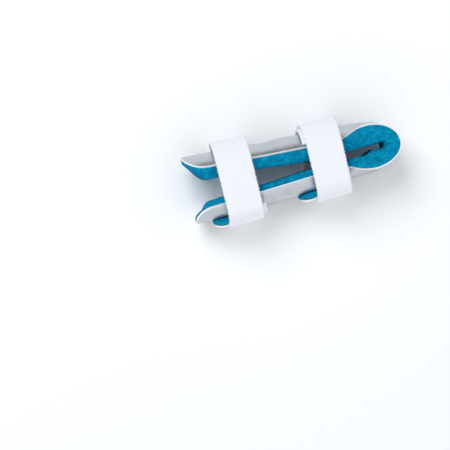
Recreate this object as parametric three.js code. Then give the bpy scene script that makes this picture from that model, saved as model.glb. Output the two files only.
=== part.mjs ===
// Fold-over finger splint: one padded aluminium strip folded over at the tip, held by two wound straps.
// Millimetres. It is modelled upright, with +X towards its closed tip and +Z towards its dorsal leg, and is
// then laid on its side, so that +Z is up and one side of both straps rests on Z = 0.
import * as THREE from "three";

// The folded strip
const overallLength = 92.4;
const dorsalSetback = 1.1; // how much shorter the dorsal leg is
const metalThickness = 1.0;
const blankWidth = 28.0;
const waistWidth = 22.0; // width of the strip where it folds
const gutterRadius = 15.0; // outer radius across each leg
const palmarHeight = 5.7; // underside of the palmar leg above the surface
const noseRise = 10.3; // from the palmar leg's underside to the foremost point of the fold
const dorsalHeight = 28.1; // top of the dorsal leg where the fold starts
const dorsalSlope = 0.0857; // fall of the dorsal leg towards the tip, per millimetre
const foldLength = 16.0;
const dorsalEndRadius = 10.5;
const palmarEndRadius = 8.5;

// The foam
const bondGap = 0.3;
const legFoam = 3.4; // along the middle of each leg
const noseFoam = 5.0; // at the middle of the nose
const noseSideFoam = 6.3; // at the nose's open sides
const channelWidth = 17.0; // width of the hollow between the legs
const lipLand = 0.5; // flat of the foam's lip beside the hollow

// The straps
const strapWidth = 15.0;
const strapThickness = 1.4;
const layerGap = 0.3;
const strapClearance = 0.6; // over the top of the dorsal leg
const strapSideClearance = 0.95; // beside the legs' edges
const restFlattening = 0.4; // how far the side that the splint lies on is pressed flat
const strapLean = 0.045; // forward lean of the upright runs, per millimetre of height
const strapSquareness = 3.4; // power of the wound loop's rounded outline
const climbTurn = THREE.MathUtils.degToRad(38); // stretch in which the outer layer climbs over the inner end

// The two straps: where each sits behind the tip, where its inner end starts (0 under the splint,
// 90 at the near side, 180 on top), which way it winds, how far it overlaps, and its sideways drift.
const straps = [
  { name: "proximal", back: 72.3, startDeg: 52, windingWay: -1, overlapDeg: 92, drift: -2.0 },
  { name: "distal", back: 34.4, startDeg: 132, windingWay: 1, overlapDeg: 88, drift: 2.4 },
];

// The padded saddles between the palmar leg and each strap
const saddleWidth = 14.0;
const saddleReach = 5.5; // how far the rounded end stands out of the strap, away from the tip
const saddleInset = 0.6; // how far the other end stays inside the strap
const saddleEndRadius = 6.0;
const saddleCornerRadius = 2.0;
const backingThickness = 0.8;

// How the strip flattens towards the fold: the distance behind the tip as a share of the fold's length,
// the share of the gutter's curvature, and the share of the narrowing to the waist.
const flattening = [
  { back: 0.0, bend: 0.0, waist: 1.0 },
  { back: 0.25, bend: 0.07, waist: 1.0 },
  { back: 0.5, bend: 0.18, waist: 0.95 },
  { back: 0.75, bend: 0.3, waist: 0.8 },
  { back: 1.0, bend: 0.44, waist: 0.6 },
  { back: 1.2, bend: 0.64, waist: 0.3 },
  { back: 1.38, bend: 0.88, waist: 0.1 },
  { back: 1.56, bend: 1.0, waist: 0.0 },
];

// The open mouth between the foam's two lips: the distance behind the tip as a share of the overall length,
// then the heights of the lower and upper lip above the palmar leg's underside, as shares of the nose's rise.
const mouth = [
  { back: 0.08, lower: 0.93, upper: 1.08 },
  { back: 0.1, lower: 0.89, upper: 1.11 },
  { back: 0.12, lower: 0.97, upper: 1.04 },
  { back: 0.14, lower: 0.96, upper: 1.05 },
  { back: 0.18, lower: 0.8, upper: 1.08 },
  { back: 0.24, lower: 0.85, upper: 1.06 },
  { back: 0.42, lower: 0.87, upper: 1.11 },
  { back: 0.67, lower: 0.86, upper: 1.42 },
  { back: 0.85, lower: 0.82, upper: 1.6 },
  { back: 1.0, lower: 0.8, upper: 1.72 },
];

// The hollow's width as a share of its full one, by distance behind the tip in fold lengths.
const channel = [
  { back: 0.0, width: 0.4 },
  { back: 0.3, width: 0.6 },
  { back: 0.8, width: 0.82 },
  { back: 1.5, width: 0.92 },
  { back: 3.0, width: 1.0 },
];

// Mesh fineness
const acrossSteps = 6; // facets across half of the strip
const endSteps = 5; // sections in each rounded end
const legStep = 9.0;
const flatteningStep = 2.0;
const foldSteps = 9; // sections in each half of the fold
const strapStepsPerTurn = 44;
const saddleSteps = 4; // facets across half of a saddle
const backEndSteps = 4; // sections in a saddle's rounded end
const frontEndSteps = 2; // sections in its other end's corners

const tipX = overallLength / 2;
const foldX = tipX - foldLength;
const noseHeight = palmarHeight + noseRise;

// Value of one column of a table at a distance behind the tip, with straight runs between the rows.
function lookUp(table, back, column) {
  const next = table.findIndex((row) => row.back >= back);
  if (next === 0) return table[0][column];
  if (next === -1) return table[table.length - 1][column];
  const [low, high] = [table[next - 1], table[next]];
  return THREE.MathUtils.lerp(low[column], high[column], (back - low.back) / (high.back - low.back));
}

// Closed solid through a row of sections with equally many points, with both ends capped.
function loft(sections) {
  const count = sections[0].length;
  const points = sections.flat();
  const index = [];
  for (let ring = 0; ring + 1 < sections.length; ring++) {
    for (let i = 0; i < count; i++) {
      const [a, b] = [ring * count + i, ring * count + ((i + 1) % count)];
      index.push(a, a + count, b, b, a + count, b + count);
    }
  }
  const lastRing = (sections.length - 1) * count;
  for (const [a, b, c] of capTriangles(count)) {
    index.push(a, b, c);
    index.push(lastRing + a, lastRing + c, lastRing + b);
  }
  const geometry = new THREE.BufferGeometry().setFromPoints(points);
  geometry.setIndex(volumeOf(points, index) < 0 ? index.reverse() : index);
  geometry.computeVertexNormals();
  return geometry;
}

// Triangles across a section whose first half of points lies opposite its second half.
function capTriangles(count) {
  const triangles = [];
  for (let i = 0; i + 1 < count / 2; i++) {
    const [a, b, c, d] = [i, i + 1, count - 2 - i, count - 1 - i];
    triangles.push([a, b, c], [a, c, d]);
  }
  return triangles;
}

function volumeOf(points, index) {
  let sum = 0;
  for (let i = 0; i < index.length; i += 3) {
    const [a, b, c] = [points[index[i]], points[index[i + 1]], points[index[i + 2]]];
    sum += a.dot(b.clone().cross(c)) / 6;
  }
  return sum;
}

// Outer line of the strip, seen from the side
const dorsalTopAt = (x) => dorsalHeight - dorsalSlope * (x - foldX);

// Cubic quarter of the fold between a leg and the nose, close to a quarter of an ellipse.
function foldQuarter(legEnd, legDirection, nose, noseDirection) {
  const roundness = 0.5523;
  const rise = Math.abs(legEnd.z - nose.z);
  return new THREE.CubicBezierCurve3(
    legEnd,
    legEnd.clone().addScaledVector(legDirection, foldLength * roundness),
    nose.clone().addScaledVector(noseDirection, rise * roundness),
    nose,
  );
}

// One station of the strip: its place and heading, and its distances behind the tip and from the free end.
function station(point, tangent, end, endRadius) {
  const inward = new THREE.Vector3(tangent.z, 0, -tangent.x);
  return { point, inward, back: tipX - point.x, end, endRadius };
}

// Distances from a leg's free end at which the strip has a section, up to the start of the fold.
function legDistances(legLength, endRadius) {
  const distances = [];
  for (let i = 0; i < endSteps; i++) {
    distances.push(endRadius * (1 - Math.cos((i / endSteps) * (Math.PI / 2))));
  }
  const flatteningLength = foldLength * (flattening[flattening.length - 1].back - 1);
  const plainLength = legLength - flatteningLength - endRadius;
  const plainSteps = Math.max(1, Math.round(plainLength / legStep));
  for (let i = 0; i < plainSteps; i++) distances.push(endRadius + (plainLength * i) / plainSteps);
  const flatteningSteps = Math.max(1, Math.round(flatteningLength / flatteningStep));
  for (let i = 0; i < flatteningSteps; i++) {
    distances.push(legLength - flatteningLength + (flatteningLength * i) / flatteningSteps);
  }
  return distances;
}

// Stations from the dorsal leg's free end, round the fold, to the palmar leg's free end.
function stripStations() {
  const stations = [];
  const dorsalLength = overallLength - foldLength - dorsalSetback;
  const palmarLength = overallLength - foldLength;
  const dorsalWay = new THREE.Vector3(1, 0, -dorsalSlope).normalize();
  for (const end of legDistances(dorsalLength, dorsalEndRadius)) {
    const x = foldX - dorsalLength + end;
    stations.push(station(new THREE.Vector3(x, 0, dorsalTopAt(x)), dorsalWay, end, dorsalEndRadius));
  }
  const nose = new THREE.Vector3(tipX, 0, noseHeight);
  const up = new THREE.Vector3(0, 0, 1);
  const forward = new THREE.Vector3(1, 0, 0);
  const upper = foldQuarter(new THREE.Vector3(foldX, 0, dorsalHeight), dorsalWay, nose, up);
  const lower = foldQuarter(new THREE.Vector3(foldX, 0, palmarHeight), forward, nose, up.clone().negate());
  for (let i = 0; i <= foldSteps; i++) {
    const share = i / foldSteps;
    stations.push(station(upper.getPoint(share), upper.getTangent(share), Infinity, dorsalEndRadius));
  }
  for (let i = foldSteps - 1; i >= 0; i--) {
    const share = i / foldSteps;
    const tangent = lower.getTangent(share).negate();
    stations.push(station(lower.getPoint(share), tangent, Infinity, palmarEndRadius));
  }
  const backward = forward.clone().negate();
  for (const end of legDistances(palmarLength, palmarEndRadius).reverse()) {
    const x = foldX - palmarLength + end;
    stations.push(station(new THREE.Vector3(x, 0, palmarHeight), backward, end, palmarEndRadius));
  }
  return stations;
}

const curvatureAt = (back) => Math.max(1e-4, lookUp(flattening, back / foldLength, "bend") / gutterRadius);

// Half of the strip's width along its surface, with the free ends rounded off.
function halfWidthAt({ back, end, endRadius }) {
  const waistShare = lookUp(flattening, back / foldLength, "waist");
  const full = THREE.MathUtils.lerp(blankWidth, waistWidth, waistShare) / 2;
  if (end >= endRadius) return full;
  return full - endRadius + Math.sqrt(endRadius ** 2 - (endRadius - end) ** 2);
}

// Point of a station's section: along is measured across the strip's outer face, and depth inward from it.
function acrossStrip(at, along, depth) {
  const curvature = curvatureAt(at.back);
  const angle = along * curvature;
  const radius = 1 / curvature - depth;
  return { y: Math.sin(angle) * radius, n: 1 / curvature - Math.cos(angle) * radius };
}

// Row of points from one edge of the strip to the other, at one depth.
function rowAcross(at, half, depth) {
  const row = [];
  for (let i = -acrossSteps; i <= acrossSteps; i++) {
    row.push(acrossStrip(at, (half * i) / acrossSteps, depth));
  }
  return row;
}

const placed = (at, { y, n }) => at.point.clone().addScaledVector(at.inward, n).setY(y);

function metalSection(at) {
  const half = halfWidthAt(at);
  const section = [...rowAcross(at, half, 0), ...rowAcross(at, half, metalThickness).reverse()];
  return section.map((p) => placed(at, p));
}

// Depth of the foam's lip below the strip's outer face: as far as the mouth between the legs, or the
// front wall of the hole behind the nose.
function lipDepthAt(at) {
  const { point, inward } = at;
  const lip = inward.z < 0 ? "upper" : "lower";
  const frontWall = tipX - metalThickness - bondGap - noseSideFoam;
  const toWall = inward.x < 0 ? (frontWall - point.x) / inward.x : 0;
  let depth = Math.max(toWall, noseRise);
  for (let i = 0; i < 6; i++) {
    const back = tipX - (point.x + inward.x * depth);
    const height = palmarHeight + noseRise * lookUp(mouth, back / overallLength, lip);
    const toMouth = Math.abs(inward.z) > 1e-6 ? (height - point.z) / inward.z : 0;
    depth = Math.max(toMouth, toWall);
  }
  return depth;
}

function foamSection(at) {
  const half = halfWidthAt(at);
  const outerDepth = metalThickness + bondGap;
  const bend = lookUp(flattening, at.back / foldLength, "bend");
  const endShare = at.end < at.endRadius ? half / (blankWidth / 2) : 1;
  const noseShare = THREE.MathUtils.smoothstep(-at.inward.x, 0.1, 1);
  const middleDepth = outerDepth + THREE.MathUtils.lerp(legFoam, noseFoam, noseShare);
  const lipDepth = middleDepth + Math.max(0.5, lipDepthAt(at) - middleDepth) * endShare ** 2;
  const edge = acrossStrip(at, half, outerDepth);
  const channelHalf = (channelWidth / 2) * lookUp(channel, at.back / foldLength, "width") * endShare;
  const lipHalf = THREE.MathUtils.lerp(edge.y - lipLand, channelHalf + lipLand * endShare, bend);
  const inner = (share) => ({
    y: Math.sin(share * (Math.PI / 2)) * channelHalf,
    n: middleDepth + (lipDepth - middleDepth) * (1 - Math.cos(share * (Math.PI / 2))),
  });
  const section = [...rowAcross(at, half, outerDepth), { y: lipHalf, n: lipDepth }];
  for (let i = acrossSteps; i >= -acrossSteps; i--) {
    const { y, n } = inner(Math.abs(i) / acrossSteps);
    section.push({ y: Math.sign(i) * y, n });
  }
  section.push({ y: -lipHalf, n: lipDepth });
  return section.map((p) => placed(at, p));
}

// Wound loop of one strap, seen along the splint: middle line, inner face, lean and taper.
function strapLoop({ back, startDeg, windingWay, overlapDeg, drift }) {
  const middleX = tipX - back;
  const pitch = strapThickness + layerGap;
  const start = THREE.MathUtils.degToRad(startDeg);
  const travelled = Math.PI * 2 + THREE.MathUtils.degToRad(overlapDeg);
  const layersAt = (turn) => {
    const gone = (turn - start) * windingWay;
    return THREE.MathUtils.smoothstep(gone, Math.PI * 2 - climbTurn, Math.PI * 2) * pitch;
  };
  const passes = (turn) => (turn - start) * windingWay >= 0 && (turn - start) * windingWay <= travelled;
  const undersideTurns = [-2 * Math.PI, 0, 2 * Math.PI].filter(passes);
  const innerTurn = undersideTurns.sort((a, b) => layersAt(a) - layersAt(b))[0];
  const lowest = Math.max(...undersideTurns.map(layersAt));
  const loopHalfHeight = (dorsalTopAt(middleX) + strapClearance - lowest) / 2;
  const centreHeight = lowest + strapThickness / 2 + loopHalfHeight;
  const legHalfWidth = gutterRadius * Math.sin(blankWidth / 2 / gutterRadius);
  const loopHalfWidth = legHalfWidth + strapSideClearance + strapThickness / 2;
  const rounded = (value) => Math.sign(value) * Math.abs(value) ** (2 / strapSquareness);
  const middleLine = (turn) => {
    const layers = layersAt(turn);
    return {
      y: Math.min(loopHalfWidth - restFlattening, -(loopHalfWidth + layers) * rounded(Math.sin(turn))),
      z: centreHeight - (loopHalfHeight + layers) * rounded(Math.cos(turn)),
    };
  };
  const outward = (turn) => {
    const step = 0.02;
    const [a, b] = [middleLine(turn - step), middleLine(turn + step)];
    const normal = new THREE.Vector2(-(b.z - a.z), b.y - a.y).normalize();
    const fromCentre = new THREE.Vector2(middleLine(turn).y, middleLine(turn).z - centreHeight);
    return normal.dot(fromCentre) < 0 ? normal.negate() : normal;
  };
  const taper = dorsalSlope / dorsalTopAt(middleX);
  const place = (x, y, z) => new THREE.Vector3(middleX + x + z * strapLean, y, z * (1 - taper * x));
  return { middleX, start, travelled, windingWay, drift, innerTurn, middleLine, outward, place };
}

function strapGeometry(loop) {
  const steps = Math.round((loop.travelled / (Math.PI * 2)) * strapStepsPerTurn);
  const turnStep = (Math.PI * 2) / strapStepsPerTurn;
  // Sections fall half a step to each side of the lowest point, which leaves a flat underside.
  const firstTurn = (Math.round(loop.start / turnStep) + 0.5) * turnStep;
  const sections = [];
  for (let i = 0; i <= steps; i++) {
    const turn = firstTurn + loop.windingWay * i * turnStep;
    const { y, z } = loop.middleLine(turn);
    const out = loop.outward(turn).multiplyScalar(strapThickness / 2);
    const shift = loop.drift * (i / steps - 0.5);
    const corner = (sideways, face) =>
      loop.place(shift + (sideways * strapWidth) / 2, y + face * out.x, z + face * out.y);
    sections.push([corner(-1, 1), corner(1, 1), corner(1, -1), corner(-1, -1)]);
  }
  return loft(sections);
}

// The saddle's parts fill the space between a strap's innermost run under the splint and the palmar leg.
function saddleHeights(loop) {
  const strapInside = (y) => {
    let [near, far] = [loop.innerTurn - Math.PI / 2, loop.innerTurn + Math.PI / 2];
    for (let i = 0; i < 40; i++) {
      const middle = (near + far) / 2;
      if (loop.middleLine(middle).y > y) near = middle;
      else far = middle;
    }
    return loop.middleLine(near).z + strapThickness / 2;
  };
  const backingUnder = (y) => strapInside(y) + bondGap;
  const backingOver = (y) => backingUnder(y) + backingThickness;
  const padUnder = (y) => backingOver(y) + bondGap;
  const padOver = (y) => palmarHeight + gutterRadius - Math.sqrt(gutterRadius ** 2 - y ** 2) - bondGap;
  return { backingUnder, backingOver, padUnder, padOver };
}

// Places of a saddle's sections in one rounded end, from its outermost, and how much narrower it is there.
function roundedEnd(end, way, radius, steps) {
  const plan = [];
  for (let i = 0; i <= steps; i++) {
    const angle = (i / steps) * (Math.PI / 2);
    plan.push({ x: end + way * radius * (1 - Math.cos(angle)), narrowing: radius * (1 - Math.sin(angle)) });
  }
  return plan;
}

// Tongue-shaped body under one strap, between two heights given across its width.
function saddleGeometry(loop, under, over) {
  const back = loop.middleX - strapWidth / 2 - saddleReach;
  const front = loop.middleX + strapWidth / 2 - saddleInset;
  const backEnd = roundedEnd(back, 1, saddleEndRadius, backEndSteps);
  const frontEnd = roundedEnd(front, -1, saddleCornerRadius, frontEndSteps);
  const sections = [...backEnd, ...frontEnd.reverse()].map(({ x, narrowing }) => {
    const half = saddleWidth / 2 - narrowing;
    const ys = [];
    for (let i = -saddleSteps; i <= saddleSteps; i++) ys.push((half * i) / saddleSteps);
    const overside = ys.map((y) => new THREE.Vector3(x, y, over(y)));
    const underside = ys.map((y) => new THREE.Vector3(x, y, under(y))).reverse();
    return [...overside, ...underside];
  });
  return loft(sections);
}

const aluminium = new THREE.MeshStandardMaterial({ color: 0xc6cacf, roughness: 0.32, metalness: 1.0 });
const foam = new THREE.MeshStandardMaterial({ color: 0x1286a8, roughness: 0.95, metalness: 0.0 });
const strapFabric = new THREE.MeshStandardMaterial({ color: 0xf1f2f6, roughness: 0.85, metalness: 0.0 });
const whiteBacking = new THREE.MeshStandardMaterial({ color: 0xe9e6e6, roughness: 0.5, metalness: 0.0 });

function named(name, geometry, material) {
  const mesh = new THREE.Mesh(geometry, material);
  mesh.name = name;
  return mesh;
}

const splint = new THREE.Group();
const stations = stripStations();
splint.add(named("aluminium_shell", loft(stations.map(metalSection)), aluminium));
splint.add(named("foam_lining", loft(stations.map(foamSection)), foam));
for (const strap of straps) {
  const loop = strapLoop(strap);
  const { backingUnder, backingOver, padUnder, padOver } = saddleHeights(loop);
  const backing = saddleGeometry(loop, backingUnder, backingOver);
  const pad = saddleGeometry(loop, padUnder, padOver);
  splint.add(named("strap_" + strap.name, strapGeometry(loop), strapFabric));
  splint.add(named("saddle_backing_" + strap.name, backing, whiteBacking));
  splint.add(named("saddle_pad_" + strap.name, pad, foam));
}

// The splint lies on its side, and the frame's origin is under the middle of it.
splint.rotation.x = -Math.PI / 2;
splint.updateMatrixWorld(true);
const box = new THREE.Box3().setFromObject(splint);
splint.position.set(-(box.min.x + box.max.x) / 2, -(box.min.y + box.max.y) / 2, -box.min.z);

export default splint;
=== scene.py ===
import math

import bpy
import numpy as np
from mathutils import Matrix, Vector


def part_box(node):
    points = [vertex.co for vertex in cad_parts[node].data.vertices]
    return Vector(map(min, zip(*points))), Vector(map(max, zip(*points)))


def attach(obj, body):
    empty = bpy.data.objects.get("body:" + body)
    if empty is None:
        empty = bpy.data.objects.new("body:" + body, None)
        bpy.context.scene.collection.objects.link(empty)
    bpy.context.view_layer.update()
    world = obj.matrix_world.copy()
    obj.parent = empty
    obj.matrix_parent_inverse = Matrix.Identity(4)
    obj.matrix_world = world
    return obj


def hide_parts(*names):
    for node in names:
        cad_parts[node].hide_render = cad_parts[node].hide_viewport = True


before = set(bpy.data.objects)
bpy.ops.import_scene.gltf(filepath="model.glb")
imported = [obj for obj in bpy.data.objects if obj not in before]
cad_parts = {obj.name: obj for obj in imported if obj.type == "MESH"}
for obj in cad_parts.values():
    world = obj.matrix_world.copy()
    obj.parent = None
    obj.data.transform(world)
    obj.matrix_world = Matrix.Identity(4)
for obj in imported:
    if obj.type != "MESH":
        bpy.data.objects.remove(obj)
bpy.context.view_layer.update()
print("frame loaded:", len(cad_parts), "nodes")

# The strip is worked out upright and in millimetres, with x to the closed tip, y across and z to
# the dorsal leg.
strip = {
    "length": 92.4,
    "dorsalSetback": 1.1,
    "thickness": 1.0,
    "blankWidth": 28.0,
    "waistWidth": 22.0,
    "gutterRadius": 15.0,
    "palmarHeight": 5.7,
    "noseRise": 10.3,
    "dorsalHeight": 28.1,
    "dorsalSlope": 0.0857,
    "foldLength": 16.0,
    "dorsalEndRadius": 10.5,
    "palmarEndRadius": 8.5,
    "legStep": 0.8,
    "endSteps": 14,
    "foldSteps": 44,
    "acrossSteps": 18,
    "edgeRounding": 0.15,
    "highlightBand": 0.35,  # painted highlight: band of the outer face beside the cut edge that gets the bright cut-edge finish
    "palmarDelay": 0.15,  # fold lengths by which the palmar leg stays flat for longer
    "delayReach": (2.0, 12.0),  # behind the tip, where that sets in
    "dentPlace": -10.0,  # shallow dent in the dorsal leg, between the straps
    "dentDepth": 0.7,
    "dentReach": 4.5,
    "dentWidth": 7.0,
    "dorsalFrom": (19.0, 23.0),  # heights over which a point comes to count as the dorsal leg
    "handling": 0.05,  # small unevenness left by bending
    "handlingCell": 9.0,
    "handlingSeed": 11,
    "leastCurvature": 0.0001,  # stands for flat
}
# How the gutter forms behind the tip, counted in fold lengths.
flattening = {
    "back": [0.0, 0.25, 0.5, 0.75, 1.0, 1.2, 1.38, 1.56],
    "bend": [0.0, 0.07, 0.18, 0.3, 0.44, 0.64, 0.88, 1.0],
    "waist": [1.0, 1.0, 0.95, 0.8, 0.6, 0.3, 0.1, 0.0],
    "spread": 0.12,
}
# How much lower the palmar leg lies than a plain gutter, counted in millimetres behind the tip.
palmarSag = {
    "back": [24, 36, 54, 64, 80, 87, 92],
    "crest": [0.0, 1.1, 1.15, 1.2, 1.35, 0.7, 0.3],
    "edge": [0.0, 0.1, 0.35, 0.5, 1.2, 1.15, 1.1],
    "spread": 4,
    "fadesAt": (15.7, 17.0),  # heights between the two legs
}
tipX = strip["length"] / 2
foldX = tipX - strip["foldLength"]
legHalf = strip["gutterRadius"] * math.sin(strip["blankWidth"] / 2 / strip["gutterRadius"])

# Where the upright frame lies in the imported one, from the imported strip's own box.
shellLow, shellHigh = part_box("aluminium_shell")
frameShift = np.array([
    shellHigh.x * 1000 - tipX,
    shellLow.y * 1000 - strip["palmarHeight"],
    (shellLow.z + shellHigh.z) * 500,
])


# Upright millimetres to the laid frame in metres.
def laidDown(points):
    points = np.asarray(points, float)
    laid = np.stack([points[..., 0], points[..., 2], -points[..., 1]], axis=-1)
    return (laid + frameShift) / 1000


hashPrimes = np.array([73856093, 19349663, 83492791])
seedPrime, mixPrime = 2654435761, 1274126177


# Smooth random field between -1 and 1, with bumps about one cell wide.
def softNoise(points, cell, seed):
    scaled = np.asarray(points, float) / cell
    base = np.floor(scaled).astype(np.int64)
    part = scaled - base
    part = part * part * (3 - 2 * part)
    total = np.zeros(scaled.shape[:-1])
    for corner in range(8):
        step = np.array([corner & 1, (corner >> 1) & 1, (corner >> 2) & 1])
        key = (base + step) * hashPrimes
        mixed = key[..., 0] ^ key[..., 1] ^ key[..., 2] ^ (seed * seedPrime)
        mixed = (mixed ^ (mixed >> 13)) * mixPrime
        mixed = mixed ^ (mixed >> 16)
        value = (mixed & 65535) / 32767.5 - 1
        weight = np.prod(np.where(step == 1, part, 1 - part), axis=-1)
        total += value * weight
    return total


# Table value with its corners rounded off over the table's own spread.
def tableValue(table, column, place):
    offsets = np.linspace(-table["spread"], table["spread"], 7)
    values = [np.interp(place + offset, table["back"], table[column]) for offset in offsets]
    return np.mean(values, axis=0)


def smoothStep(value, low, high):
    share = np.clip((value - low) / (high - low), 0, 1)
    return share * share * (3 - 2 * share)


# Distances from a leg's free end at which the strip has a section.
def legDistances(length, radius):
    angles = np.arange(strip["endSteps"]) / strip["endSteps"] * math.pi / 2
    plain = np.arange(radius, length - strip["legStep"] / 2, strip["legStep"])
    return np.concatenate([radius * (1 - np.cos(angles)), plain])


# One quarter of the fold, from a leg to the nose, with the way along it at each point.
def foldQuarter(legEnd, legWay, nose, noseWay):
    roundness = 0.5523  # makes the curve follow a quarter of an ellipse
    rise = abs(legEnd[1] - nose[1])
    a, b = legEnd, legEnd + legWay * strip["foldLength"] * roundness
    c, d = nose + noseWay * rise * roundness, nose
    shares = np.linspace(0, 1, strip["foldSteps"] + 1)[:, None]
    rest = 1 - shares
    points = a * rest**3 + 3 * b * rest**2 * shares + 3 * c * rest * shares**2 + d * shares**3
    ways = 3 * (b - a) * rest**2 + 6 * (c - b) * rest * shares + 3 * (d - c) * shares**2
    return points, ways / np.linalg.norm(ways, axis=1)[:, None]


# Stations from the dorsal leg's free end, round the fold, to the palmar leg's free end.
def stripStations():
    # Each row is x, z, inward x, inward z, distance from the free end, end radius, and 1 on the
    # palmar half.
    rows = []
    palmarLength = strip["length"] - strip["foldLength"]
    dorsalLength = palmarLength - strip["dorsalSetback"]
    dorsalRadius, palmarRadius = strip["dorsalEndRadius"], strip["palmarEndRadius"]
    slope = strip["dorsalSlope"]
    dorsalWay = np.array([1, -slope]) / math.hypot(1, slope)
    for end in legDistances(dorsalLength, dorsalRadius):
        x = foldX - dorsalLength + end
        z = strip["dorsalHeight"] - slope * (x - foldX)
        rows.append([x, z, dorsalWay[1], -dorsalWay[0], end, dorsalRadius, 0])

    nose = np.array([tipX, strip["palmarHeight"] + strip["noseRise"]])
    legEnd = np.array([foldX, strip["dorsalHeight"]])
    points, ways = foldQuarter(legEnd, dorsalWay, nose, np.array([0, 1.0]))
    for point, way in zip(points, ways):
        rows.append([*point, way[1], -way[0], np.inf, dorsalRadius, 0])
    legEnd = np.array([foldX, strip["palmarHeight"]])
    points, ways = foldQuarter(legEnd, np.array([1.0, 0]), nose, np.array([0, -1.0]))
    for point, way in list(zip(points, -ways))[-2::-1]:
        rows.append([*point, way[1], -way[0], np.inf, palmarRadius, 1])
    for end in legDistances(palmarLength, palmarRadius)[::-1]:
        x = foldX - palmarLength + end
        rows.append([x, strip["palmarHeight"], 0, 1, end, palmarRadius, 1])

    rows = np.array(rows)
    end, radius, onPalmar = rows[:, 4], rows[:, 5], rows[:, 6]
    back = tipX - rows[:, 0]
    delay = strip["palmarDelay"] * onPalmar * smoothStep(back, *strip["delayReach"])
    flatBack = back / strip["foldLength"] - delay
    bend = tableValue(flattening, "bend", flatBack)
    waist = tableValue(flattening, "waist", flatBack)
    half = (strip["blankWidth"] + (strip["waistWidth"] - strip["blankWidth"]) * waist) / 2
    inEnd = end < radius
    short = np.where(inEnd, radius - np.where(inEnd, end, 0), 0)
    rounded = half - radius + np.sqrt(np.maximum(radius**2 - short**2, 0))
    return {
        "point": rows[:, :2],
        "inward": rows[:, 2:4],
        "back": back,
        "end": end,
        "inEnd": inEnd,
        "palmar": onPalmar == 1,
        "bend": bend,
        "half": np.where(inEnd, rounded, half),
        "curvature": np.maximum(bend / strip["gutterRadius"], strip["leastCurvature"]),
    }


stations = stripStations()


# Points of every station's section: along runs across the outer face, depth goes inward from it.
def acrossStrip(along, depth):
    curvature = stations["curvature"][:, None]
    angle = along * curvature
    reach = 1 / curvature - depth
    return np.sin(angle) * reach, 1 / curvature - np.cos(angle) * reach


def placed(y, n):
    x = stations["point"][:, :1] + stations["inward"][:, :1] * n
    z = stations["point"][:, 1:] + stations["inward"][:, 1:] * n
    return np.stack([x, y, z], axis=-1)


# How much lower a point of the palmar leg lies than in a plain gutter.
def palmarDrop(x, y):
    crest = tableValue(palmarSag, "crest", tipX - x)
    edge = tableValue(palmarSag, "edge", tipX - x)
    return crest + (edge - crest) * np.clip(np.abs(y) / legHalf, 0, 1) ** 2


# What bending leaves uneven, shared by the metal and the foam bonded to it.
def handled(points):
    x, y, z = points[..., 0], points[..., 1], points[..., 2]
    fromCrest = np.exp(-((y / strip["dentWidth"]) ** 2))
    fromDent = np.exp(-(((x - strip["dentPlace"]) / strip["dentReach"]) ** 2))
    dent = strip["dentDepth"] * fromCrest * fromDent * smoothStep(z, *strip["dorsalFrom"])
    noise = softNoise(points * [1, 1, 0.5], strip["handlingCell"], strip["handlingSeed"])
    drop = palmarDrop(x, y) * (1 - smoothStep(z, *palmarSag["fadesAt"]))
    moved = points.copy()
    moved[..., 2] += strip["handling"] * noise - dent - drop
    return moved


# Closed body through rings of equally many points, with a fan over each end.
def loftedBody(rings, slotOfColumn=None, endSlot=0):
    ringCount, count = rings.shape[:2]
    vertices = np.concatenate([rings.reshape(-1, 3), [rings[0].mean(0)], [rings[-1].mean(0)]])
    first, last = ringCount * count, ringCount * count + 1
    ring = np.arange(ringCount - 1)[:, None] * count
    i = np.arange(count)[None, :]
    j = (i + 1) % count
    corners = [ring + i, ring + count + i, ring + count + j, ring + j]
    faces = np.stack(corners, axis=-1).reshape(-1, 4).tolist()
    if slotOfColumn is None:
        slotOfColumn = np.zeros(count, int)
    slots = np.tile(slotOfColumn, ringCount - 1).tolist()
    lastRing = (ringCount - 1) * count
    for k in range(count):
        following = (k + 1) % count
        faces.append([first, k, following])
        faces.append([last, lastRing + following, lastRing + k])
        slots += [endSlot, endSlot]
    return vertices, faces, slots


def meshPiece(name, vertices, faces, slots=None):
    mesh = bpy.data.meshes.new(name)
    mesh.from_pydata(np.asarray(vertices).tolist(), [], faces)
    mesh.polygons.foreach_set("use_smooth", [True] * len(mesh.polygons))
    if slots is not None:
        mesh.polygons.foreach_set("material_index", slots)
    mesh.update()
    piece = bpy.data.objects.new(name, mesh)
    bpy.context.collection.objects.link(piece)
    turnFacesOut(piece)
    return piece


def turnFacesOut(piece):
    mesh = piece.data
    mesh.calc_loop_triangles()
    corners = np.empty(len(mesh.vertices) * 3)
    mesh.vertices.foreach_get("co", corners)
    corners = corners.reshape(-1, 3)
    triangles = np.empty(len(mesh.loop_triangles) * 3, int)
    mesh.loop_triangles.foreach_get("vertices", triangles)
    a, b, c = corners[triangles.reshape(-1, 3)].transpose(1, 0, 2)
    if np.sum(a * np.cross(b, c)) < 0:
        mesh.flip_normals()


def roundEdges(piece, width, segments=2, slot=-1):
    bevel = piece.modifiers.new("roundEdges", "BEVEL")
    bevel.width = width / 1000
    bevel.segments = segments
    bevel.limit_method = "ANGLE"
    bevel.angle_limit = math.radians(50)
    bevel.material = slot


# Node helpers
def newMaterial(name):
    material = bpy.data.materials.new(name)
    material.use_nodes = True
    nodes, links = material.node_tree.nodes, material.node_tree.links
    return material, nodes, links, nodes["Principled BSDF"]


def mappedPlace(nodes, links, scale=(1, 1, 1)):
    place = nodes.new("ShaderNodeTexCoord")
    mapping = nodes.new("ShaderNodeMapping")
    mapping.inputs["Scale"].default_value = scale
    links.new(place.outputs["Object"], mapping.inputs["Vector"])
    return mapping.outputs["Vector"]


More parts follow.
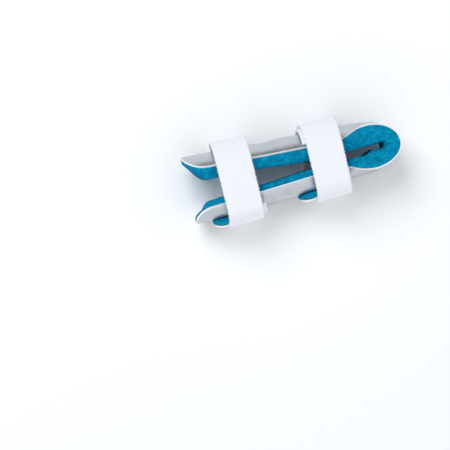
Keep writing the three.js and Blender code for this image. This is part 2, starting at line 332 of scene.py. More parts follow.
def noiseNode(nodes, links, vector, scale, detail=3.0, roughness=0.5):
    node = nodes.new("ShaderNodeTexNoise")
    node.inputs["Scale"].default_value = scale
    node.inputs["Detail"].default_value = detail
    node.inputs["Roughness"].default_value = roughness
    links.new(vector, node.inputs["Vector"])
    return node.outputs["Fac"]


def rampNode(nodes, links, source, stops):
    ramp = nodes.new("ShaderNodeValToRGB")
    while len(ramp.color_ramp.elements) < len(stops):
        ramp.color_ramp.elements.new(0.5)
    for element, (position, colour) in zip(ramp.color_ramp.elements, stops):
        element.position = position
        element.color = (*colour, 1.0)
    links.new(source, ramp.inputs["Fac"])
    return ramp.outputs["Color"]


def rangeNode(nodes, links, source, low, high):
    node = nodes.new("ShaderNodeMapRange")
    node.inputs["To Min"].default_value = low
    node.inputs["To Max"].default_value = high
    links.new(source, node.inputs["Value"])
    return node.outputs["Result"]


def bumpNode(nodes, links, height, distance, strength, under=None):
    node = nodes.new("ShaderNodeBump")
    node.inputs["Distance"].default_value = distance
    node.inputs["Strength"].default_value = strength
    links.new(height, node.inputs["Height"])
    if under is not None:
        links.new(under, node.inputs["Normal"])
    return node.outputs["Normal"]


def multipliedColour(nodes, links, below, above, share):
    mix = nodes.new("ShaderNodeMix")
    mix.data_type = "RGBA"
    mix.blend_type = "MULTIPLY"
    mix.inputs["Factor"].default_value = share
    links.new(below, mix.inputs["A"])
    links.new(above, mix.inputs["B"])
    return mix.outputs["Result"]


def softSurface(shader, finish):
    shader.inputs["Roughness"].default_value = finish["roughness"]
    shader.inputs["Specular IOR Level"].default_value = finish["specular"]
    shader.inputs["Sheen Weight"].default_value = finish["sheen"]
    shader.inputs["Sheen Roughness"].default_value = finish["sheenRoughness"]


# Tones are pairs of a place on the noise's range and a colour.
metalFinish = {
    "tones": [(0.3, (0.48, 0.505, 0.53)), (0.7, (0.58, 0.6, 0.625))],
    "smooth": 0.26,
    "rough": 0.4,
    "cloud": 140,
    "dimples": 420,
    "dimpleDepth": 0.00006,
    "grain": (60, 2200, 2200),  # rolled grain runs along the strip
    "grainDepth": 0.00002,
}


def satinAluminium():
    material, nodes, links, shader = newMaterial("satinAluminium")
    plain = mappedPlace(nodes, links)
    grain = noiseNode(nodes, links, mappedPlace(nodes, links, metalFinish["grain"]), 1.0, 4, 0.6)
    cloud = noiseNode(nodes, links, plain, metalFinish["cloud"], 3, 0.55)
    dimples = noiseNode(nodes, links, plain, metalFinish["dimples"], 2, 0.5)
    links.new(rampNode(nodes, links, cloud, metalFinish["tones"]), shader.inputs["Base Color"])
    shader.inputs["Metallic"].default_value = 1.0
    gloss = rangeNode(nodes, links, cloud, metalFinish["smooth"], metalFinish["rough"])
    links.new(gloss, shader.inputs["Roughness"])
    soft = bumpNode(nodes, links, dimples, metalFinish["dimpleDepth"], 0.5)
    fine = bumpNode(nodes, links, grain, metalFinish["grainDepth"], 0.6, soft)
    links.new(fine, shader.inputs["Normal"])
    return material


# Bright finish of the cut edges and ends; on the band beside each cut edge it is painted highlight.
cutEdgeAndHighlightFinish = {
    "tones": [(0.3, (0.88, 0.88, 0.89)), (0.7, (0.97, 0.97, 0.97))],
    "metallic": 0.45,  # the cut edge is scratched, so it scatters light; this finish is also the painted highlight beside it
    "roughness": 0.45,
    "streaks": (2600, 700, 2600),
    "streakDepth": 0.00003,
}


def cutEdgeAndHighlight():
    material, nodes, links, shader = newMaterial("cutEdgeAndHighlight")
    streaks = noiseNode(nodes, links, mappedPlace(nodes, links, cutEdgeAndHighlightFinish["streaks"]), 1.0, 3, 0.6)
    links.new(rampNode(nodes, links, streaks, cutEdgeAndHighlightFinish["tones"]), shader.inputs["Base Color"])
    shader.inputs["Metallic"].default_value = cutEdgeAndHighlightFinish["metallic"]
    shader.inputs["Roughness"].default_value = cutEdgeAndHighlightFinish["roughness"]
    fine = bumpNode(nodes, links, streaks, cutEdgeAndHighlightFinish["streakDepth"], 0.6)
    links.new(fine, shader.inputs["Normal"])
    return material


foamFinish = {
    "tones": [(0.3, (0.0, 0.17, 0.31)), (0.5, (0.0, 0.262, 0.455)), (0.72, (0.0, 0.36, 0.575))],
    "mottle": 420,
    "mottleDepth": 0.0003,
    "cellSize": 0.00042,
    "cellDepth": 0.00012,
    "hollowShadeTones": [(0.0, (0.62, 0.66, 0.7)), (0.45, (1, 1, 1))],  # painted shade: hollows darker than walls
    "hollowShadeShare": 0.6,
    "specks": 1250,  # painted shade, coarser: darker where several cells are open together
    "speckShadeTones": [(0.36, (0.5, 0.56, 0.62)), (0.56, (1, 1, 1))],
    "speckShadeShare": 0.75,
    "roughness": 0.92,
    "specular": 0.08,
    "sheen": 0.06,
    "sheenRoughness": 0.6,
    "sheenTint": (0.05, 0.6, 0.85),
}


def blueFoam():
    material, nodes, links, shader = newMaterial("blueFoam")
    plain = mappedPlace(nodes, links)
    mottle = noiseNode(nodes, links, plain, foamFinish["mottle"], 4, 0.65)
    cells = nodes.new("ShaderNodeTexVoronoi")
    cells.inputs["Scale"].default_value = 1 / foamFinish["cellSize"]
    links.new(plain, cells.inputs["Vector"])
    specks = noiseNode(nodes, links, plain, foamFinish["specks"], 2, 0.6)
    tone = rampNode(nodes, links, mottle, foamFinish["tones"])
    # Painted shade darkens the hollows of the foam's cells.
    hollowShade = rampNode(nodes, links, cells.outputs["Distance"], foamFinish["hollowShadeTones"])
    # Painted shade darkens specks where several cells are open together.
    speckShade = rampNode(nodes, links, specks, foamFinish["speckShadeTones"])
    tone = multipliedColour(nodes, links, tone, hollowShade, foamFinish["hollowShadeShare"])
    tone = multipliedColour(nodes, links, tone, speckShade, foamFinish["speckShadeShare"])
    links.new(tone, shader.inputs["Base Color"])
    softSurface(shader, foamFinish)
    shader.inputs["Sheen Tint"].default_value = (*foamFinish["sheenTint"], 1)
    pits = bumpNode(nodes, links, cells.outputs["Distance"], foamFinish["cellDepth"], 0.7)
    soft = bumpNode(nodes, links, mottle, foamFinish["mottleDepth"], 0.5, pits)
    links.new(soft, shader.inputs["Normal"])
    return material


strapFinish = {
    "tones": [(0.3, (0.79, 0.81, 0.855)), (0.6, (0.86, 0.875, 0.91))],
    "pileSize": 0.0004,
    "pileDepth": 0.00005,
    "patches": 230,
    "patchDepth": 0.00025,
    "roughness": 0.88,
    "specular": 0.25,
    "sheen": 0.35,
    "sheenRoughness": 0.5,
}


def brushedLoop():
    material, nodes, links, shader = newMaterial("brushedLoop")
    plain = mappedPlace(nodes, links)
    pile = noiseNode(nodes, links, plain, 1 / strapFinish["pileSize"], 4, 0.65)
    patches = noiseNode(nodes, links, plain, strapFinish["patches"], 3, 0.6)
    links.new(rampNode(nodes, links, pile, strapFinish["tones"]), shader.inputs["Base Color"])
    softSurface(shader, strapFinish)
    low = bumpNode(nodes, links, patches, strapFinish["patchDepth"], 0.5)
    fine = bumpNode(nodes, links, pile, strapFinish["pileDepth"], 0.6, low)
    links.new(fine, shader.inputs["Normal"])
    return material


sheetFinish = {
    "tones": [(0.3, (0.74, 0.71, 0.71)), (0.7, (0.86, 0.84, 0.84))],
    "roughness": 0.5,
    "cloud": 300,
    "dimpleDepth": 0.00008,
}


def whiteSheet():
    material, nodes, links, shader = newMaterial("whiteSheet")
    cloud = noiseNode(nodes, links, mappedPlace(nodes, links), sheetFinish["cloud"], 3, 0.6)
    links.new(rampNode(nodes, links, cloud, sheetFinish["tones"]), shader.inputs["Base Color"])
    shader.inputs["Roughness"].default_value = sheetFinish["roughness"]
    soft = bumpNode(nodes, links, cloud, sheetFinish["dimpleDepth"], 0.5)
    links.new(soft, shader.inputs["Normal"])
    return material


finishes = {
    "aluminium": satinAluminium(),
    "cut": cutEdgeAndHighlight(),
    "foam": blueFoam(),
    "strap": brushedLoop(),
    "backing": whiteSheet(),
}
print("finishes made:", len(finishes))


def finished(piece, node, recordSlot, *materials):
    for material in materials:
        piece.data.materials.append(material)
    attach(piece, "root")
    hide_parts(node)
    return piece


# The metal strip
def metalStrip():
    # The painted highlight band takes the outermost share of the outer face on each side.
    inside = 1 - strip["highlightBand"] / (strip["blankWidth"] / 2)
    shares = np.concatenate([[-1], np.linspace(-inside, inside, 2 * strip["acrossSteps"] + 1), [1]])
    along = shares[None, :] * stations["half"][:, None]
    outer = placed(*acrossStrip(along, 0.0))
    inner = placed(*acrossStrip(along, strip["thickness"]))
    rings = handled(np.concatenate([outer, inner[:, ::-1]], axis=1))
    # Slot 1, the bright cut finish, covers the cut edges, the ends and, as painted highlight, the
    # band beside each edge.
    columns = np.zeros(rings.shape[1], int)
    columns[[0, len(shares) - 2, len(shares) - 1, -1]] = 1
    piece = meshPiece("metalStrip", *loftedBody(laidDown(rings), columns, endSlot=1))
    roundEdges(piece, strip["edgeRounding"], segments=3, slot=1)
    return finished(piece, "aluminium_shell", "aluminium", finishes["aluminium"], finishes["cut"])


metalStrip()
print("metal strip folded")

foamLining = {
    "bondGap": 0.05,
    "legFoam": 3.65,
    "noseFoam": 5.25,
    "noseFrom": (0.1, 1.0),  # how far the strip has to face back for the nose's thickness
    "noseSideFoam": 6.55,
    "channelWidth": 17.0,
    "lipLand": 0.5,
    "lipLeast": 0.5,  # least rise of a lip over the channel's floor
    "lipTries": 8,
    "sideSteps": 16,
    "innerSteps": 22,
    "sideBulge": 0.35,  # how far the open sides swell between metal and lip
    "rollAlong": [0.08, 0.08, 0.3, 0.5, 0.5],  # outline of the roll over the metal's cut edge
    "rollDepth": [0.0, 0.95, 1.0, 0.7, 0.25],
    "dorsalThinning": 0.45,  # share of the thickness left at each free end
    "palmarThinning": 0.12,
    "thinningReach": 8.0,
    "freeFrom": (0.05, 0.3),  # share of a side over which it comes free of the metal
    "roundedFrom": (0.25, 1.1),  # depths past the bonded face over which corners get rounded
    "lipRounding": 9,  # rounds of smoothing
    "wavyFrom": (0.3, 1.2),
    "waver": 0.16,  # unevenness of the cut foam
    "waverCell": 3.2,
    "crumb": 0.05,
    "crumbCell": 0.7,
    "seed": 5,
    "fill": 0.9,
}
# Heights of the two lips as shares of the nose's rise, counted in splint lengths behind the tip.
mouth = {
    "back": [0.08, 0.1, 0.12, 0.14, 0.18, 0.24, 0.42, 0.67, 0.85, 1.0],
    "lower": [0.93, 0.89, 0.97, 0.96, 0.8, 0.85, 0.96, 0.89, 0.915, 0.86],
    "upper": [1.08, 1.11, 1.04, 1.05, 1.08, 1.06, 1.11, 1.42, 1.54, 1.62],
    "spread": 0.008,
}
# Share of the metal's cut edge that the foam's roll covers, counted in millimetres.
edgeCover = {
    "back": [0, 14, 20, 30, 36, 41, 64, 72, 100],
    "dorsal": [0.45, 0.5, 0.95, 0.95, 0.3, 0.25, 0.2, 0.2, 0.15],
    "palmar": [0.45, 0.45, 0.45, 0.3, 0.3, 1.0, 1.0, 0.15, 0.12],
    "spread": 2,
}
# Share of the channel's width, counted in fold lengths.
channel = {
    "back": [0.0, 0.3, 0.8, 1.5, 3.0],
    "width": [0.4, 0.6, 0.82, 0.92, 1.0],
    "spread": 0.1,
}


# How deep the lips reach: to the mouth between the legs, or to the wall of the hole in the nose.
def lipDepths():
    x, z = stations["point"].T
    inX, inZ = stations["inward"].T
    frontWall = tipX - strip["thickness"] - foamLining["bondGap"] - foamLining["noseSideFoam"]
    toWall = np.where(inX < 0, (frontWall - x) / np.where(inX < 0, inX, -1), 0)
    upright = np.abs(inZ) > 1e-6
    depth = np.maximum(toWall, strip["noseRise"])
    for _ in range(foamLining["lipTries"]):
        back = (tipX - (x + inX * depth)) / strip["length"]
        upper, lower = tableValue(mouth, "upper", back), tableValue(mouth, "lower", back)
        height = strip["palmarHeight"] + strip["noseRise"] * np.where(inZ < 0, upper, lower)
        toMouth = np.where(upright, (height - z) / np.where(upright, inZ, 1), 0)
        depth = np.maximum(toMouth, toWall)
    return depth


# Depths of the channel's floor and of the lips, less towards the free ends.
def foamDepths(outerDepth, endShare):
    noseShare = smoothStep(-stations["inward"][:, 0], *foamLining["noseFrom"])
    foam = foamLining["legFoam"] + (foamLining["noseFoam"] - foamLining["legFoam"]) * noseShare
    left = np.where(stations["palmar"], foamLining["palmarThinning"], foamLining["dorsalThinning"])
    thinned = left + (1 - left) * smoothStep(stations["end"], 0, foamLining["thinningReach"])
    floor = outerDepth + foam * thinned
    rise = np.maximum(foamLining["lipLeast"], lipDepths() - floor) * endShare**2 * thinned
    return floor[:, None], (floor + rise)[:, None]


# Moves the points of closed rings towards their neighbours, which rounds the corners.
def relaxedRings(rings, rounds):
    for _ in range(rounds):
        rings = rings * 0.5 + (np.roll(rings, 1, axis=1) + np.roll(rings, -1, axis=1)) * 0.25
    return rings


# Spreads each closed ring's points evenly along it.
def evenRings(rings, count):
    result = np.empty((len(rings), count, rings.shape[2]))
    for k, ring in enumerate(rings):
        closed = np.vstack([ring, ring[:1]])
        lengths = np.concatenate([[0], np.cumsum(np.linalg.norm(np.diff(closed, axis=0), axis=1))])
        wanted = np.linspace(0, lengths[-1], count, endpoint=False)
        for axis in range(rings.shape[2]):
            result[k, :, axis] = np.interp(wanted, lengths, closed[:, axis])
    return result


# Closed sections of the foam, and for each of their points how free it is of the metal.
def foamSections(outerDepth):
    half = stations["half"][:, None]
    endShare = np.where(stations["inEnd"], stations["half"] / (strip["blankWidth"] / 2), 1)
    floor, lip = foamDepths(outerDepth, endShare)
    shares = np.linspace(-1, 1, 2 * strip["acrossSteps"] + 1)
    rowY, rowN = acrossStrip(shares * half, outerDepth)

    dorsalCover = tableValue(edgeCover, "dorsal", stations["back"])
    palmarCover = tableValue(edgeCover, "palmar", stations["back"])
    cover = np.where(stations["palmar"], palmarCover, dorsalCover)[:, None]
    rollAlong, rollDepth = np.array(foamLining["rollAlong"]), np.array(foamLining["rollDepth"])
    rollY, rollN = acrossStrip(half + cover * rollAlong, outerDepth - cover * rollDepth)
    edgeY, edgeN = acrossStrip(half + cover * rollAlong[-1], outerDepth)

    width = tableValue(channel, "width", stations["back"] / strip["foldLength"])
    channelHalf = (foamLining["channelWidth"] / 2 * width * endShare)[:, None]
    bend, endShare, land = stations["bend"][:, None], endShare[:, None], foamLining["lipLand"]
    lipHalf = (edgeY - land) * (1 - bend) + (channelHalf + land * endShare) * bend
    side = np.linspace(0, 1, foamLining["sideSteps"] + 2)[1:]
    swell = foamLining["sideBulge"] * np.sin(side * math.pi) * endShare
    sideY = edgeY + (lipHalf - edgeY) * side + swell
    sideN = edgeN + (lip - edgeN) * side
    turn = np.linspace(1, -1, 2 * foamLining["innerSteps"] + 1) * math.pi / 2
    innerY = np.sin(turn) * channelHalf
    innerN = floor + (lip - floor) * (1 - np.cos(turn))

    y = np.concatenate([rowY, rollY, sideY, innerY, -sideY[:, ::-1], -rollY[:, ::-1]], axis=1)
    n = np.concatenate([rowN, rollN, sideN, innerN, sideN[:, ::-1], rollN[:, ::-1]], axis=1)
    row, roll, inner = np.zeros(rowY.shape[1]), np.zeros(rollY.shape[1]), np.ones(innerY.shape[1])
    loose = smoothStep(side, *foamLining["freeFrom"])
    free = np.concatenate([row, roll, loose, inner, loose[::-1], roll])
    return np.stack([y, n], axis=-1), free


def foamBody():
    outerDepth = strip["thickness"] + foamLining["bondGap"]
    flat, free = foamSections(outerDepth)

    def freeShare(reach):
        past = flat[..., 1] - outerDepth
        return (smoothStep(past, *foamLining[reach]) * free)[..., None]

    rounded = relaxedRings(flat, foamLining["lipRounding"])
    flat = flat + (rounded - flat) * freeShare("roundedFrom")
    rings = placed(flat[..., 0], flat[..., 1])
    outward = rings - rings.mean(axis=1, keepdims=True)
    outward /= np.linalg.norm(outward, axis=-1, keepdims=True) + 1e-9
    waver = foamLining["waver"] * softNoise(rings, foamLining["waverCell"], foamLining["seed"])
    crumb = foamLining["crumb"] * softNoise(rings, foamLining["crumbCell"], foamLining["seed"] + 1)
    rings = rings + outward * ((waver + crumb)[..., None] * freeShare("wavyFrom"))
    piece = meshPiece("foamLining", *loftedBody(laidDown(handled(rings))))
    finished(piece, "foam_lining", "foam", finishes["foam"])


foamBody()
print("foam lining cut")

straps = {
    "width": 15.0,
    "thickness": 1.4,
    "layerGap": 0.3,
    "sideClearance": 0.95,
    "restFlattening": 0.4,
    "restGap": 0.00001,  # metres over the surface that it lies on
    "lean": 0.022,
    "squareness": 3.4,
    "climbTurn": math.radians(38),
    "stepAlong": 0.32,
    "stepAcross": 0.36,
    "lineSteps": 6000,
    "cornerRounding": 6,  # rounds of smoothing
    "edgeRounding": 0.4,
    "edgeWidth": 0.9,
    "edgeThinning": 0.16,
    "selvedge": 0.27,  # depth of the uneven woven edge
    "weaveStep": 1.25,  # from one weft loop at the edge to the next
    "weaveShare": 0.55,
    "raggedShare": 0.7,
    "raggedCell": 0.6,
    "ripple": 0.1,
    "rippleCell": 5.5,
    "bow": 0.9,  # how far the upright run swells between the two legs
    "bowFrom": (0.2, 1.0),  # on the turned angle's sine
    "pile": 0.05,
    "pileCell": 0.55,
}
# Each strap's middle behind the tip, where it starts and which way it turns, in degrees from under
# the splint, and how it stands over the dorsal leg.
strapPlaces = [
    {"name": "Proximal", "back": 71.2, "start": 52, "way": -1, "overlap": 92, "drift": -2.0,
     "clearance": 2.5, "tilt": 1.0, "seed": 21},
    {"name": "Distal", "back": 33.3, "start": 114, "way": 1, "overlap": 100, "drift": 1.7,
     "clearance": 1.35, "tilt": 0.0, "seed": 22},
]


def dorsalTopAt(x):
    return strip["dorsalHeight"] - strip["dorsalSlope"] * (x - foldX)


# Middle line of one wound strap as functions of the turned angle.
def strapLoop(place):
    middleX = tipX - place["back"]
    pitch = straps["thickness"] + straps["layerGap"]
    start = math.radians(place["start"])
    travelled = 2 * math.pi + math.radians(place["overlap"])

    def layersAt(turn):
        gone = (np.asarray(turn, float) - start) * place["way"]
        return smoothStep(gone, 2 * math.pi - straps["climbTurn"], 2 * math.pi) * pitch

    undersides = [k * math.pi for k in (-2, 0, 2)]
    undersides = [turn for turn in undersides if 0 <= (turn - start) * place["way"] <= travelled]
    innerTurn = min(undersides, key=lambda turn: float(layersAt(turn)))
    lowest = max(float(layersAt(turn)) for turn in undersides)
    halfHeight = (dorsalTopAt(middleX) + place["clearance"] - lowest) / 2
    centre = lowest + straps["thickness"] / 2 + halfHeight
    halfWidth = legHalf + straps["sideClearance"] + straps["thickness"] / 2

    def rounded(value):
        return np.sign(value) * np.abs(value) ** (2 / straps["squareness"])

    def middleLine(turn):
        layers = layersAt(turn)
        bow = straps["bow"] * smoothStep(np.sin(turn), *straps["bowFrom"])
        y = -(halfWidth + layers + bow) * rounded(np.sin(turn))
        z = centre - (halfHeight + layers) * rounded(np.cos(turn))
        return np.stack([np.minimum(halfWidth - straps["restFlattening"], y), z], axis=-1)

    return {
        "middleX": middleX,
        "start": start,
        "travelled": travelled,
        "innerTurn": innerTurn,
        "middleLine": middleLine,
        "taper": place["tilt"] * strip["dorsalSlope"] / dorsalTopAt(middleX),
    }


# Evenly spaced points of a strap's middle line, their distances along it and their ways outward.
def strapPath(place, loop):
    turns = np.linspace(0, loop["travelled"], straps["lineSteps"]) * place["way"] + loop["start"]
    line = loop["middleLine"](turns)
    lengths = np.concatenate([[0], np.cumsum(np.linalg.norm(np.diff(line, axis=0), axis=1))])
    wanted = np.linspace(0, lengths[-1], int(lengths[-1] / straps["stepAlong"]))
    path = np.stack([np.interp(wanted, lengths, line[:, axis]) for axis in (0, 1)], axis=-1)
    for _ in range(straps["cornerRounding"]):
        path[1:-1] = path[1:-1] * 0.5 + (path[:-2] + path[2:]) * 0.25
    way = np.gradient(path, axis=0)
    way /= np.linalg.norm(way, axis=1)[:, None]
    outward = np.stack([-way[:, 1], way[:, 0]], axis=-1)
    if np.sum(outward * (path - line.mean(0))) < 0:
        outward = -outward
    return path, wanted, outward


# Outline of the tape's section, as pairs of a place across it and a height.
def tapeSection():
    halfWidth, halfThick = straps["width"] / 2, straps["thickness"] / 2
    corner = straps["edgeRounding"]
    count = int(straps["width"] / straps["stepAcross"])
    top = [(u, halfThick) for u in np.linspace(-halfWidth + corner, halfWidth - corner, count)]
    arc = [(halfWidth - corner + corner * math.sin(a), halfThick - corner + corner * math.cos(a))
           for a in np.radians([25, 50, 75])]
    rightEdge = arc + [(u, -t) for u, t in reversed(arc)]
    bottom = [(u, -t) for u, t in reversed(top)]
    leftEdge = [(-u, -t) for u, t in rightEdge]
    return np.array(top + rightEdge + bottom + leftEdge)


# Loose fibres along both edges of a strap, each a bent three-sided thread.
fibres = {
    "count": 900,
    "length": 0.7,
    "lengths": (0.4, 1.2),  # shortest and longest, as shares of it
    "radius": 0.022,
    "thinning": 0.7,
    "segments": 3,
    "edgeBand": 0.25,
    "lean": 0.8,
    "scatter": 0.3,
    "curl": 0.35,
    "rooted": 0.08,  # share that starts inside the tape
}


def edgeFibres(laid, section, seed):
    random = np.random.default_rng(seed)
    count = fibres["count"]
    edgeColumns = np.flatnonzero(np.abs(section[:, 0]) > straps["width"] / 2 - fibres["edgeBand"])
    rings = random.integers(2, len(laid) - 2, count)
    columns = random.choice(edgeColumns, count)
    root = laid[rings, columns]
    out = root - laid[rings].mean(axis=1)
    out /= np.linalg.norm(out, axis=1)[:, None]
    along = laid[rings + 1, columns] - laid[rings - 1, columns]
    along /= np.linalg.norm(along, axis=1)[:, None] + 1e-12
    lean = random.normal(0, fibres["lean"], (count, 1))
    way = out + along * lean + random.normal(0, fibres["scatter"], (count, 3))
    way /= np.linalg.norm(way, axis=1)[:, None]
    curl = np.cross(way, random.normal(0, 1, (count, 3)))
    curl /= np.linalg.norm(curl, axis=1)[:, None] + 1e-12
    second = np.cross(way, curl)
    length = fibres["length"] / 1000 * random.uniform(*fibres["lengths"], (count, 1))
    points = []
    for k in range(fibres["segments"] + 1):
        share = k / fibres["segments"]
        bent = curl * length * fibres["curl"] * share**2
        spine = root + way * length * (share - fibres["rooted"]) + bent
        radius = fibres["radius"] / 1000 * (1 - fibres["thinning"] * share)
        for corner in range(3):
            angle = corner * 2 * math.pi / 3
            points.append(spine + (curl * math.cos(angle) + second * math.sin(angle)) * radius)
    points = np.stack(points, axis=1)
    points[..., 2] = np.maximum(points[..., 2], straps["restGap"])
    base = np.arange(count)[:, None] * points.shape[1]
    faces = []
    for k in range(fibres["segments"]):
        for corner in range(3):
            a, b = k * 3 + corner, k * 3 + (corner + 1) % 3
            corners = [base + a, base + b, base + b + 3, base + a + 3]
            faces.append(np.concatenate(corners, axis=1))
    return points.reshape(-1, 3), np.concatenate(faces)


def woundStrap(place):
    loop = strapLoop(place)
    path, distances, outward = strapPath(place, loop)
    section, seed, halfWidth = tapeSection(), place["seed"], straps["width"] / 2
    across = section[None, :, 0]
    thick = np.repeat(section[None, :, 1], len(path), axis=0)
    travel = np.repeat(distances[:, None], len(section), axis=1)
    sideways = across + place["drift"] * np.linspace(-0.5, 0.5, len(path))[:, None]
    field = np.stack([travel, sideways, thick * 3], axis=-1)
    nearEdge = smoothStep(np.abs(across), halfWidth - straps["edgeWidth"], halfWidth)
    weave = straps["weaveShare"] * np.sin(travel * 2 * math.pi / straps["weaveStep"])
    ragged = straps["raggedShare"] * softNoise(field * [1, 0.05, 0.3], straps["raggedCell"], seed)
    sideways = sideways + np.sign(across) * nearEdge * straps["selvedge"] * (weave + ragged)
    ripple = straps["ripple"] * softNoise(field * [1, 0.7, 0], straps["rippleCell"], seed + 1)
    pile = straps["pile"] * softNoise(field, straps["pileCell"], seed + 2) * np.sign(thick)
    lift = thick * (1 - straps["edgeThinning"] * nearEdge) + ripple + pile
    y = path[:, :1] + outward[:, :1] * lift
    z = path[:, 1:] + outward[:, 1:] * lift
    x = loop["middleX"] + sideways + z * straps["lean"]
    laid = laidDown(np.stack([x, y, z * (1 - loop["taper"] * sideways)], axis=-1))
    laid[..., 2] = np.maximum(laid[..., 2], straps["restGap"])
    vertices, faces, slots = loftedBody(laid)
    fibrePoints, fibreFaces = edgeFibres(laid, section, seed)
    faces += (fibreFaces + len(vertices)).tolist()
    slots += [0] * len(fibreFaces)
    vertices = np.concatenate([vertices, fibrePoints])
    piece = meshPiece("strap" + place["name"], vertices, faces, slots)
    finished(piece, "strap_" + place["name"].lower(), "strap", finishes["strap"])


for strapPlace in strapPlaces:
    woundStrap(strapPlace)
print("straps wound:", len(strapPlaces))

saddles = {
    "width": 9.5,
    "reach": 7.0,
    "inset": 0.6,
    "endRadius": 4.4,
    "cornerRadius": 2.0,
    "droop": {"Proximal": 2.6, "Distal": 0.3},  # how far the free part sags
    "rejoins": (5.8, 7.2),  # where it meets the strap again, from its free end
    "curl": 0.75,  # how far up the free end curls, as a share of the pad's thickness
    "curlReach": 5.5,
    "glueLine": 0.15,
    "acrossSteps": 24,
    "endSteps": 14,
    "middleSteps": 24,
    "lineSteps": 2001,
}
saddleBacking = {"thickness": 0.8, "sideRows": 1, "bulge": 0, "rounds": 0, "edgeRounding": 0.2}
saddlePad = {
    "rise": 0.8,  # how far its face follows the gutter over it, as a share
    "sideRows": 10,
    "bulge": 0.3,
    "rounds": 5,
    "fill": 0.8,
}


# Where a saddle's free end and its other end are, along the splint.
def saddleEnds(loop):
    halfStrap = straps["width"] / 2
    back = loop["middleX"] - halfStrap - saddles["reach"]
    return back, loop["middleX"] + halfStrap - saddles["inset"]


# Places along a saddle and its half width at each of them.
def saddlePlan(loop):
    back, front = saddleEnds(loop)
    half = saddles["width"] / 2
    endRadius, cornerRadius = saddles["endRadius"], saddles["cornerRadius"]
    angles = np.linspace(0.04, 1, saddles["endSteps"]) * math.pi / 2
    endX = back + endRadius * (1 - np.cos(angles))
    endHalf = half - endRadius * (1 - np.sin(angles))
    cornerX = front - cornerRadius * (1 - np.cos(angles))
    cornerHalf = half - cornerRadius * (1 - np.sin(angles))
    middleX = np.linspace(endX[-1], cornerX[-1], saddles["middleSteps"] + 2)[1:-1]
    x = np.concatenate([endX, middleX, cornerX[::-1]])
    return x, np.concatenate([endHalf, np.full(len(middleX), half), cornerHalf[::-1]])


# Heights of a saddle's four faces, from the strap's inner face under it to the gutter over it.
def saddleHeights(loop, label):
    quarter = math.pi / 2
    lowTurn, highTurn = loop["innerTurn"] - quarter, loop["innerTurn"] + quarter
    turns = np.linspace(lowTurn, highTurn, saddles["lineSteps"])
    line = loop["middleLine"](turns)
    order = np.argsort(line[:, 0])
    lineY, lineZ = line[order, 0], line[order, 1]
    back, gap, thickness = saddleEnds(loop)[0], saddles["glueLine"], saddleBacking["thickness"]

    def strapInside(y):
        return np.interp(y, lineY, lineZ) + straps["thickness"] / 2

    def palmarUnder(x, y):
        radius = strip["gutterRadius"]
        plain = strip["palmarHeight"] + radius - np.sqrt(radius**2 - y**2)
        return plain - palmarDrop(x, y)

    room = float(palmarUnder(loop["middleX"], 0) - strapInside(0)) - 3 * gap - thickness

    def curl(x):
        free = x - back
        scooped = np.sqrt(1 - (1 - np.clip(free / saddles["curlReach"], 0, 1)) ** 2)
        sag = saddles["droop"][label] * scooped * (1 - smoothStep(free, *saddles["rejoins"]))
        return saddles["curl"] * room * (1 - scooped) - sag

    def padOver(x, y):
        crest = palmarUnder(x, 0 * y)
        return crest + saddlePad["rise"] * (palmarUnder(x, y) - crest) - gap

    return {
        "backingUnder": lambda x, y: strapInside(y) + gap + curl(x),
        "backingOver": lambda x, y: strapInside(y) + gap + thickness + curl(x),
        "padUnder": lambda x, y: strapInside(y) + 2 * gap + thickness + curl(x),
        "padOver": padOver,
    }


def saddleBody(name, loop, under, over, form):
    x, half = saddlePlan(loop)
    shares = np.linspace(-1, 1, 2 * saddles["acrossSteps"] + 1)[None, :]
    y = shares * half[:, None]
    places = np.repeat(x[:, None], y.shape[1], axis=1)
    upper = np.stack([places, y, over(places, y)], axis=-1)
    lower = np.stack([places, y, under(places, y)], axis=-1)[:, ::-1]
    side = np.linspace(0, 1, form["sideRows"] + 2)[None, 1:-1, None]
    right = upper[:, -1:] * (1 - side) + lower[:, :1] * side
    left = lower[:, -1:] * (1 - side) + upper[:, :1] * side
    swell = form["bulge"] * np.sin(side[..., 0] * math.pi)
    right[..., 1] += swell
    left[..., 1] -= swell
    rings = np.concatenate([upper, right, lower, left], axis=1)
    if form["rounds"]:
        rings = relaxedRings(evenRings(rings, rings.shape[1]), form["rounds"])
    return meshPiece(name, *loftedBody(laidDown(rings)))


def seatSaddle(place):
    label, loop = place["name"], strapLoop(place)
    heights = saddleHeights(loop, label)
    under, over = heights["backingUnder"], heights["backingOver"]
    backing = saddleBody("saddleBacking" + label, loop, under, over, saddleBacking)
    roundEdges(backing, saddleBacking["edgeRounding"])
    finished(backing, "saddle_backing_" + label.lower(), "backing", finishes["backing"])
    pad = saddleBody("saddlePad" + label, loop, heights["padUnder"], heights["padOver"], saddlePad)
    finished(pad, "saddle_pad_" + label.lower(), "foam", finishes["foam"])


for strapPlace in strapPlaces:
    seatSaddle(strapPlace)
print("saddles seated")

stage = {
    "floorSize": 4.0,
    "floorColour": (0.96, 0.963, 0.97),
    "framePixels": 450,
    "pixelsPerMillimetre": 2.346,
    "aimPixel": (291.8, 166.4),  # where the point below shows in the frame
    "aimBehindTip": 46.75,
    "aimHeight": 17.8,
    "yaw": math.radians(3),  # how far the camera stands towards the open end
    "pitch": math.radians(1.5),  # and towards the dorsal leg
    "roll": math.radians(16.05),
    "distance": 0.9,
}


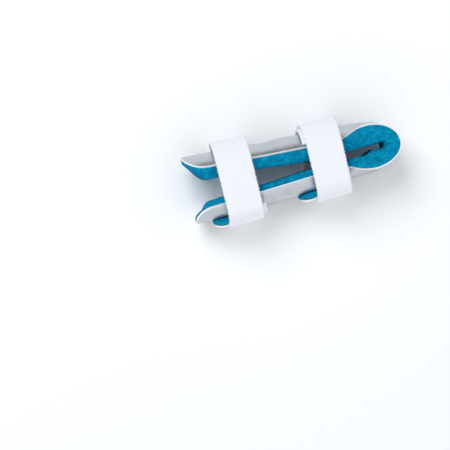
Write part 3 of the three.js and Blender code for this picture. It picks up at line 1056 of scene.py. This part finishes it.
def floorPlane():
    side = stage["floorSize"] / 2
    corners = [(-side, -side, 0), (side, -side, 0), (side, side, 0), (-side, side, 0)]
    mesh = bpy.data.meshes.new("floor")
    mesh.from_pydata(corners, [], [(0, 1, 2, 3)])
    floor = bpy.data.objects.new("floor", mesh)
    bpy.context.collection.objects.link(floor)
    material, nodes, links, shader = newMaterial("paleFloor")
    shader.inputs["Base Color"].default_value = (*stage["floorColour"], 1)
    shader.inputs["Roughness"].default_value = 0.9
    mesh.materials.append(material)


floorPlane()

# Where each soft light stands from the splint in metres, its size, its power in watts and its
# colour.
softLights = {
    "key": {"from": (-0.3, 0.7, 1.0), "size": 0.8, "power": 10.2, "colour": (0.93, 0.965, 1.0)},
    "fill": {"from": (0.35, -0.75, 0.75), "size": 1.2, "power": 0.8, "colour": (1.0, 0.88, 0.86)},
}
# The surroundings are darker on the dorsal side, which the metal there reflects.
worldLight = {"colour": (0.95, 0.97, 1.0), "dorsalSide": 0.12, "palmarSide": 1.12}


def standLights():
    for name, light in softLights.items():
        data = bpy.data.lights.new(name, "AREA")
        data.size = light["size"]
        data.energy = light["power"]
        data.color = light["colour"]
        lamp = bpy.data.objects.new(name, data)
        lamp.location = light["from"]
        lamp.rotation_euler = (-Vector(light["from"])).to_track_quat("-Z", "Y").to_euler()
        bpy.context.collection.objects.link(lamp)
    world = bpy.data.worlds.new("studio")
    world.use_nodes = True
    background = world.node_tree.nodes["Background"]
    background.inputs["Color"].default_value = (*worldLight["colour"], 1)
    nodes, links = world.node_tree.nodes, world.node_tree.links
    direction = nodes.new("ShaderNodeTexCoord")
    parts = nodes.new("ShaderNodeSeparateXYZ")
    links.new(direction.outputs["Generated"], parts.inputs["Vector"])
    sideways = nodes.new("ShaderNodeMapRange")
    sideways.inputs["From Min"].default_value = -1.0
    sideways.inputs["From Max"].default_value = 1.0
    sideways.inputs["To Min"].default_value = worldLight["palmarSide"]
    sideways.inputs["To Max"].default_value = worldLight["dorsalSide"]
    links.new(parts.outputs["Y"], sideways.inputs["Value"])
    links.new(sideways.outputs["Result"], background.inputs["Strength"])
    bpy.context.scene.world = world


standLights()


# The camera looks down on the side that is up, from a little towards the open end, and is rolled
# so that the closed tip points up to the right.
def standCamera():
    yaw, pitch, roll = stage["yaw"], stage["pitch"], stage["roll"]
    level = math.cos(pitch)
    away = Vector((-math.sin(yaw) * level, math.sin(pitch), math.cos(yaw) * level))
    alongSplint = Vector((math.cos(yaw), 0, math.sin(yaw)))
    acrossSplint = away.cross(alongSplint)
    right = alongSplint * math.cos(roll) - acrossSplint * math.sin(roll)
    up = alongSplint * math.sin(roll) + acrossSplint * math.cos(roll)
    aim = Vector(laidDown((tipX - stage["aimBehindTip"], 0, stage["aimHeight"])))
    halfFrame = stage["framePixels"] / 2
    scale = stage["pixelsPerMillimetre"] * 1000
    offRight = (stage["aimPixel"][0] - halfFrame) / scale
    offUp = (halfFrame - stage["aimPixel"][1]) / scale
    data = bpy.data.cameras.new("camera")
    data.sensor_width = 36
    data.lens = 36 * stage["distance"] * scale / stage["framePixels"]
    camera = bpy.data.objects.new("camera", data)
    place = aim - right * offRight - up * offUp + away * stage["distance"]
    turned = Matrix((right, up, away)).transposed().to_4x4()
    camera.matrix_world = Matrix.Translation(place) @ turned
    bpy.context.collection.objects.link(camera)
    bpy.context.scene.camera = camera


standCamera()
bpy.context.scene.view_settings.view_transform = "Standard"
print("stage, lights and camera set")
